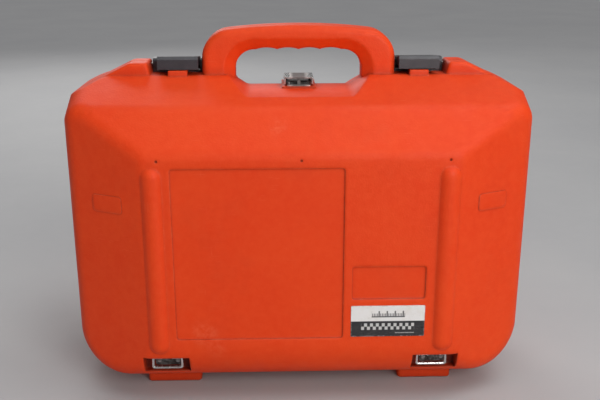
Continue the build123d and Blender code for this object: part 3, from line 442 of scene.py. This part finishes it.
def label_print():
    """Printed plate: a graduation on white above a chequered scale bar on black. No lettering."""
    paint = Paint("printed_label", IOR=1.5, Specular_IOR_Level=0.5, Coat_Weight=0.25, Coat_Roughness=0.15)
    low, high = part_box("label_plate")
    x, _, z = paint.axes()
    u = paint.ramp(x, low[0], high[0])
    v = paint.ramp(z, low[2], high[2])
    scale_ticks = paint.times(comb(paint, u, 46.0, 0.45), paint.patch(u, v, TICKS, PRINT_BLUR))
    long_ticks = paint.times(comb(paint, u, 9.2, 0.16), paint.patch(u, v, LONG_TICKS, PRINT_BLUR))
    base_line = paint.patch(u, v, BASE_LINE, PRINT_BLUR)
    ink = paint.either(scale_ticks, long_ticks, base_line)
    bar_top = paint.times(comb(paint, u, BAR_PAIRS, 0.5), paint.patch(u, v, BAR_TOP, PRINT_BLUR))
    shifted = paint.math("ADD", u, 0.5 / BAR_PAIRS)
    bar_low = paint.times(comb(paint, shifted, BAR_PAIRS, 0.5), paint.patch(u, v, BAR_LOW, PRINT_BLUR))
    foot_line = paint.times(comb(paint, u, 60.0, 0.5), paint.patch(u, v, FOOT_LINE, PRINT_BLUR))
    white_on_black = paint.either(bar_top, bar_low, foot_line)
    lower = paint.ramp(v, HALF_HEIGHT + 0.005, HALF_HEIGHT - 0.005)
    stain = paint.times(paint.ramp(paint.noise(95.0, 5.0, 0.65), 0.46, 0.72), 0.3)
    white = paint.mix(stain, (0.80, 0.79, 0.78), (0.60, 0.52, 0.42))
    black = paint.mix(stain, (0.016, 0.017, 0.020), (0.055, 0.050, 0.045))
    upper_colour = paint.mix(ink, white, (0.05, 0.05, 0.055))
    lower_colour = paint.mix(white_on_black, black, (0.58, 0.58, 0.57))
    colour = paint.mix(lower, upper_colour, lower_colour)
    scratches = paint.scratches((120.0, 120.0, 5200.0), (0.2, 0.5, 0.1), 0.8)
    rim = paint.math("SUBTRACT", 1.0, paint.patch(u, v, UNWORN, 0.003))
    rubbed = paint.times(rim, paint.ramp(paint.noise(420.0, 4.0, 0.7), 0.46, 0.58))
    colour = paint.mix(paint.times(paint.either(scratches, rubbed), 0.5), colour, (0.42, 0.40, 0.38))
    paint.shade("Base Color", colour)
    paint.shade("Roughness", paint.ramp(paint.noise(180.0, 4.0, 0.6), 0.3, 0.7, 0.26, 0.42))
    paint.bump(paint.math("SUBTRACT", paint.noise(380.0), paint.times(scratches, 0.5)), 0.00004)
    return paint.material


def comb(paint, value, teeth, duty):
    """Bars at even steps; teeth is how many to one unit and duty their share of the step."""
    phase = paint.math("FRACT", paint.times(value, teeth))
    return paint.band(phase, 0.5 - duty / 2, 0.5 + duty / 2, 0.05)


def floor_paint():
    """Plain pale floor, slightly uneven."""
    paint = Paint("pale_floor", IOR=1.45, Specular_IOR_Level=0.2)
    cloud = paint.ramp(paint.noise(3.0, 4.0, 0.55), 0.3, 0.7)
    paint.shade("Base Color", paint.mix(cloud, (0.425, 0.425, 0.435), (0.455, 0.455, 0.460)))
    paint.shade("Roughness", paint.ramp(paint.noise(40.0), 0.3, 0.7, 0.72, 0.84))
    paint.bump(paint.noise(320.0, 3.0, 0.6), 0.0001)
    return paint.material


# ---- the two foams -------------------------------------------------------------------------------

def skin_of(node, name):
    """New object with an even skin of small faces over a CAD solid."""
    source = bpy.data.objects.new(name + "_source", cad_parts[node].data.copy())
    bpy.context.scene.collection.objects.link(source)
    remesh = source.modifiers.new("even skin", "REMESH")
    remesh.mode = "VOXEL"
    remesh.voxel_size = FOAM_VOXEL
    soften = source.modifiers.new("soft corners", "SMOOTH")
    soften.factor = 0.5
    soften.iterations = 3
    evaluated = source.evaluated_get(bpy.context.evaluated_depsgraph_get())
    mesh = bpy.data.meshes.new_from_object(evaluated)
    bpy.data.objects.remove(source)
    piece = bpy.data.objects.new(name, mesh)
    bpy.context.scene.collection.objects.link(piece)
    return piece


def neighbour_mean(values, edges, counts):
    """Mean of each point's neighbours."""
    total = np.zeros_like(values)
    np.add.at(total, edges[:, 0], values[edges[:, 1]])
    np.add.at(total, edges[:, 1], values[edges[:, 0]])
    return total / counts


def sink_lips(points, edges, face_y):
    """Lets the lips of the cut-outs sink, as foam does where it is pressed. Depth only grows."""
    counts = np.bincount(edges.ravel(), minlength=len(points)).astype(float)
    way = 1.0 if face_y > 0 else -1.0
    depth = points[:, 1] * way
    near = depth < abs(face_y) + LIP_DEPTH
    for _ in range(LIP_PASSES):
        mean = neighbour_mean(depth, edges, counts)
        depth = np.where(near, np.maximum(depth, (1.0 - LIP_PULL) * depth + LIP_PULL * mean), depth)
    points[:, 1] = depth * way


def dent(points, normals, face_y):
    """Small hollows and swellings, and a groove along each bonded layer on the walls."""
    depth = np.abs(points[:, 1]) - abs(face_y)
    layer = np.abs((depth / LAYER_DEPTH + 0.5) % 1.0 - 0.5) * LAYER_DEPTH
    wall = np.clip(1.4 - 1.8 * np.abs(normals[:, 1]), 0.0, 1.0)
    below_face = depth > 0.4 * LAYER_DEPTH
    groove = GROOVE_DEPTH * np.exp(-(layer / GROOVE_WIDTH) ** 2) * wall * below_face
    uneven = np.array([noise.noise(Vector(point) * DENTS_PER_METRE) for point in points]) * DENT_DEPTH
    uneven = uneven - 0.5 * DENT_DEPTH
    points += normals * (uneven - groove)[:, None]


def foam_piece(node, body, name, face_y, material):
    """Detailed foam in place of a plain CAD solid."""
    piece = skin_of(node, name)
    mesh = piece.data
    count = len(mesh.vertices)
    points = np.empty(count * 3)
    mesh.vertices.foreach_get("co", points)
    points = points.reshape(-1, 3)
    edges = np.empty(len(mesh.edges) * 2, dtype=int)
    mesh.edges.foreach_get("vertices", edges)
    sink_lips(points, edges.reshape(-1, 2), face_y)
    mesh.vertices.foreach_set("co", points.ravel())
    mesh.update()
    normals = np.empty(count * 3)
    mesh.vertices.foreach_get("normal", normals)
    dent(points, normals.reshape(-1, 3), face_y)
    low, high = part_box(node)
    points = np.clip(points, np.array(low), np.array(high))
    mesh.vertices.foreach_set("co", points.ravel())
    for polygon in mesh.polygons:
        polygon.use_smooth = True
    mesh.materials.clear()
    mesh.materials.append(material)
    mesh.update()
    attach(piece, body)
    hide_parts(node)


# ---- stage ---------------------------------------------------------------------------------------

def floor_sheet(name, near_y, far_y, material):
    """Flat sheet of floor from near_y to far_y, with finer steps towards the object."""
    even = np.linspace(0.0, 1.0, FLOOR_STEPS + 1)
    across = [FLOOR_HALF * math.copysign(abs(t) ** 3, t) for t in np.linspace(-1.0, 1.0, FLOOR_STEPS + 1)]
    along = [near_y + (far_y - near_y) * t ** 3 for t in even]
    shape = bmesh.new()
    rows = [[shape.verts.new((x, y, FLOOR_Z)) for x in across] for y in along]
    for row, following in zip(rows, rows[1:]):
        for index in range(FLOOR_STEPS):
            corners = (row[index], row[index + 1], following[index + 1], following[index])
            shape.faces.new(corners)
    bmesh.ops.recalc_face_normals(shape, faces=shape.faces)
    if shape.faces[:][0].normal.z < 0:
        bmesh.ops.reverse_faces(shape, faces=shape.faces[:])
    mesh = bpy.data.meshes.new(name)
    shape.to_mesh(mesh)
    shape.free()
    mesh.materials.append(material)
    sheet = bpy.data.objects.new(name, mesh)
    bpy.context.scene.collection.objects.link(sheet)
    return sheet


def make_stage():
    """Pale floor in two sheets.

    The case opens lying on its back, so the front sheet swings away with the lid and leaves it in view.
    """
    material = floor_paint()
    floor_sheet("floor_rear", FLOOR_JOINT_Y, FLOOR_HALF, material)
    front = floor_sheet("floor_front", FLOOR_JOINT_Y, -FLOOR_HALF, material)
    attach(front, "lid")


def make_lights():
    """Soft area lights and an even surround."""
    for name, (place, size, power, colour) in LIGHTS.items():
        data = bpy.data.lights.new(name, "AREA")
        data.shape = "DISK"
        data.size = size
        data.energy = power
        data.color = colour
        lamp = bpy.data.objects.new(name, data)
        lamp.location = place
        lamp.rotation_mode = "QUATERNION"
        lamp.rotation_quaternion = (LIGHT_AIM - Vector(place)).to_track_quat("-Z", "Y")
        bpy.context.scene.collection.objects.link(lamp)
    data = bpy.data.lights.new("ceiling", "SUN")
    data.energy = CEILING_STRENGTH
    data.angle = CEILING_ANGLE
    ceiling = bpy.data.objects.new("ceiling", data)
    ceiling.rotation_mode = "QUATERNION"
    ceiling.rotation_quaternion = (-CEILING_FROM).to_track_quat("-Z", "Y")
    bpy.context.scene.collection.objects.link(ceiling)
    world = bpy.data.worlds.new("surround")
    world.use_nodes = True
    background = world.node_tree.nodes["Background"]
    background.inputs["Color"].default_value = (WORLD_GREY, WORLD_GREY, WORLD_GREY * 1.01, 1.0)
    background.inputs["Strength"].default_value = WORLD_STRENGTH
    bpy.context.scene.world = world


def make_camera():
    """Camera at the photograph's viewing angle."""
    data = bpy.data.cameras.new("camera")
    data.lens = LENS_MM
    data.sensor_width = SENSOR_MM
    data.clip_start = 0.02
    camera = bpy.data.objects.new("camera", data)
    back = Vector((
        math.sin(CAMERA_AZIMUTH) * math.cos(CAMERA_PITCH),
        -math.cos(CAMERA_AZIMUTH) * math.cos(CAMERA_PITCH),
        math.sin(CAMERA_PITCH),
    ))
    camera.location = CAMERA_PLACE
    camera.rotation_mode = "QUATERNION"
    camera.rotation_quaternion = back.to_track_quat("Z", "Y")
    bpy.context.scene.collection.objects.link(camera)
    bpy.context.scene.camera = camera


# ---- all together --------------------------------------------------------------------------------

def pairs(*names):
    """Left and right node of each name."""
    return [f"{name}_{side}" for name in names for side in ("left", "right")]


def paint_nodes(material, nodes):
    """Gives CAD nodes a material."""
    for node in nodes:
        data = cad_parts[node].data
        data.materials.clear()
        data.materials.append(material)


bpy.context.scene.view_settings.view_transform = "Standard"
make_camera()
make_stage()
make_lights()
steel = bright_steel("nickel_plated_steel")
foam_material = foam()
paint_nodes(orange_plastic(), ("front_shell", "rear_shell"))
paint_nodes(dark_plastic(), pairs("latch_lever", "latch_seat"))
paint_nodes(bright_steel("middle_darkened_clasp_steel", dark_half=0.0085), ("clasp_hasp", "clasp_staple"))
# the ring brackets and the clasp base get painted shade all over
paint_nodes(bright_steel("shade_darkened_bracket_steel", shade_amount=1.0), ["clasp_base"] + pairs("ring_bracket"))
paint_nodes(steel, pairs("strap_ring"))
paint_nodes(pin_steel(), [
    "clasp_pin", "clasp_rivets", "staple_rivets", "bracket_rivets", *pairs("hinge_pin", "latch_pin"),
])
paint_nodes(black_rubber(), ("rim_seal",))
paint_nodes(label_print(), ("label_plate",))
foam_piece("foam_cradle", "case_rear", "cradle_foam_pad", FOAM_FACE, foam_material)
foam_piece("lid_foam", "lid", "lid_foam_pad", -FOAM_FACE, foam_material)
